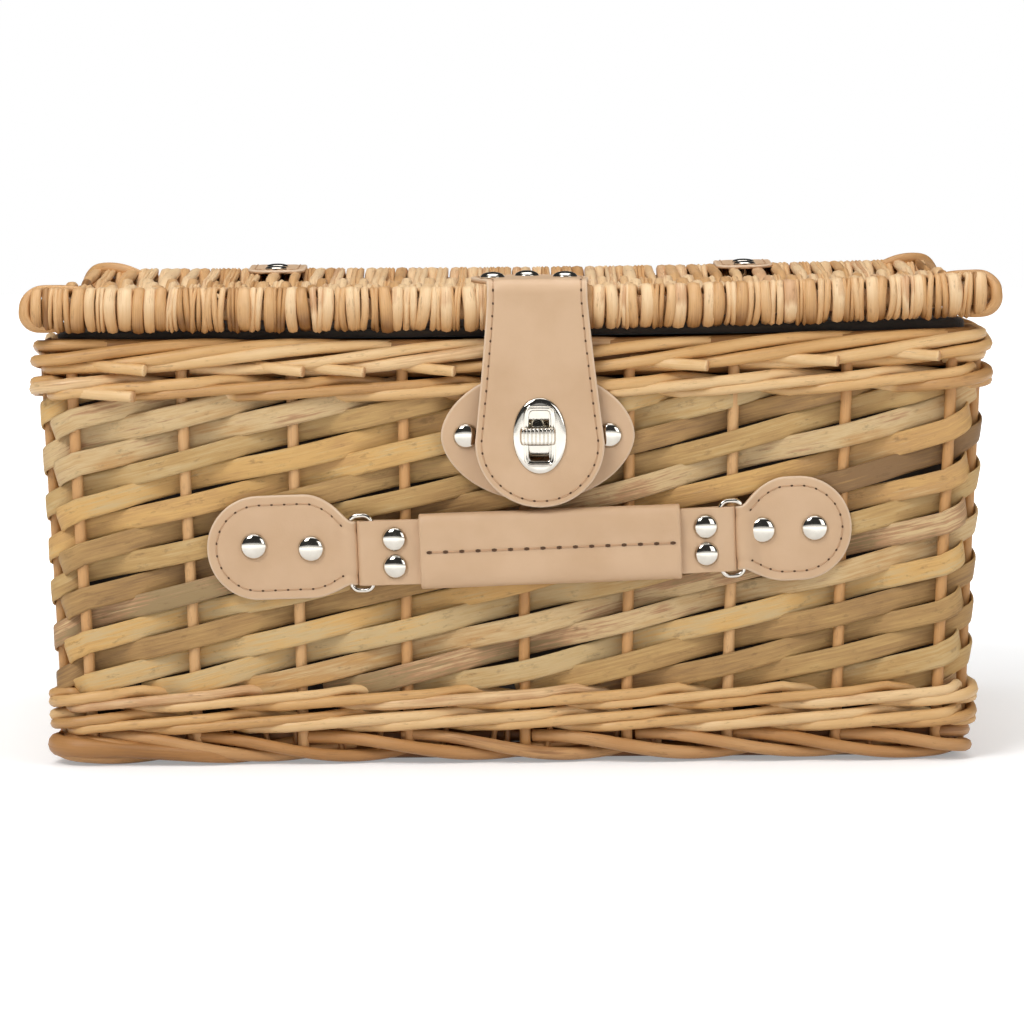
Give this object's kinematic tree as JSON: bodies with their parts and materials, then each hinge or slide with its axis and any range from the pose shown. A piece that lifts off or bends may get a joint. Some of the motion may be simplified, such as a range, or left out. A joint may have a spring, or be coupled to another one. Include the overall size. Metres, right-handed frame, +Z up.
{
  "type": "picnic hamper",
  "caption": "Woven willow picnic hamper with a hinged lid, a leather strap with an oval turn lock, and a leather carry handle on wire rings.",
  "frame": {"origin": "under the middle of the whole outline, on the surface that the basket stands on", "axes": "+X to the right along the front, +Y to the back, +Z up; the lock and the handle face -Y"},
  "size_m": [0.41, 0.3024, 0.2076],
  "materials": {
    "willow_band": "split willow, half matt, brown and olive",
    "willow_rod": "round willow rods, half matt",
    "willow_stick": "thick willow sticks, half matt",
    "leather": "pale stitched leather, light grain",
    "leather_core": "stiff core, hidden in the grip",
    "nickel": "polished nickel plate",
    "lining": "dark woven fabric"
  },
  "bodies": {
    "basket": {"foot_border": "willow_stick", "base_sticks": "willow_stick", "base_weave": "willow_rod", "corner_stakes": "willow_rod", "front_stakes": "willow_rod", "back_stakes": "willow_rod", "left_stakes": "willow_rod", "right_stakes": "willow_rod", "front_bands": "willow_band", "back_bands": "willow_band", "left_bands": "willow_band", "right_bands": "willow_band", "lower_waling": "willow_rod", "upper_waling": "willow_rod", "rim_border": "willow_rod", "basket_lining": "lining", "patch_left": "leather", "patch_right": "leather", "patch_rivets_left": "nickel", "patch_rivets_right": "nickel", "lock_pad": "leather", "pad_rivets": "nickel", "lock_base": "nickel", "hinge_leaf_left": "leather", "hinge_leaf_right": "leather", "hinge_leaf_rivets": "nickel"},
    "lid": {"lid_edge_sticks": "willow_stick", "lid_sticks": "willow_stick", "lid_weave_top": "willow_rod", "lid_weave_under": "willow_rod", "lid_edge_wraps": "willow_rod", "lid_end_rods": "willow_stick", "lid_lining": "lining", "strap_anchor": "leather", "anchor_rivets": "nickel", "hinge_lid_left": "leather", "hinge_lid_right": "leather", "hinge_lid_rivets": "nickel"},
    "strap": {"strap_tongue": "leather", "lock_plate": "nickel", "lock_washer": "nickel"},
    "turn_button": {"turn_bar": "nickel", "turn_spindle": "nickel"},
    "handle": {"grip_sleeve": "leather", "grip_core": "leather_core"},
    "left_tab": {"tab_left": "leather", "tab_rivets_left": "nickel"},
    "right_tab": {"tab_right": "leather", "tab_rivets_right": "nickel"},
    "left_ring": {"ring_left": "nickel"},
    "right_ring": {"ring_right": "nickel"}
  },
  "joints": [
    {"name": "lid_hinge", "type": "hinge", "parent": "basket", "child": "lid", "pos_m": [0, 0.15013, 0.18151], "axis": [-1, 0, 0], "range_deg": [0, 110]},
    {"name": "strap_fold", "type": "hinge", "parent": "lid", "child": "strap", "pos_m": [0.011, -0.14205, 0.20261], "axis": [-1, 0, 0], "range_deg": [0, 90]},
    {"name": "button_turn", "type": "hinge", "parent": "basket", "child": "turn_button", "pos_m": [0.011, -0.14796, 0.14], "axis": [0, -1, 0], "range_deg": [0, 90]},
    {"name": "handle_pull", "type": "slide", "parent": "basket", "child": "handle", "axis": [0, -1, 0], "range_m": [0, 0.011]},
    {"name": "tab_left_turn", "type": "hinge", "parent": "handle", "child": "left_tab", "pos_m": [-0.03867, -0.1382, 0.09123], "axis": [0.0332, 0.0398, -0.9987], "range_deg": [0, 21]},
    {"name": "tab_right_turn", "type": "hinge", "parent": "handle", "child": "right_tab", "pos_m": [0.07067, -0.13834, 0.09486], "axis": [-0.0332, -0.0398, 0.9987], "range_deg": [0, 23]},
    {"name": "ring_left_turn", "type": "hinge", "parent": "basket", "child": "left_ring", "pos_m": [-0.06785, -0.13526, 0.09038], "axis": [0.0332, 0.0398, -0.9987], "range_deg": [0, 21]},
    {"name": "ring_right_turn", "type": "hinge", "parent": "basket", "child": "right_ring", "pos_m": [0.09686, -0.13548, 0.09584], "axis": [-0.0332, -0.0398, 0.9987], "range_deg": [0, 23]}
  ],
  "couplings": [
    {"joint": "tab_left_turn", "follows": "handle_pull", "rad_per_m": 31.887},
    {"joint": "ring_left_turn", "follows": "handle_pull", "rad_per_m": 31.887},
    {"joint": "tab_right_turn", "follows": "handle_pull", "rad_per_m": 34.981},
    {"joint": "ring_right_turn", "follows": "handle_pull", "rad_per_m": 34.981}
  ]
}
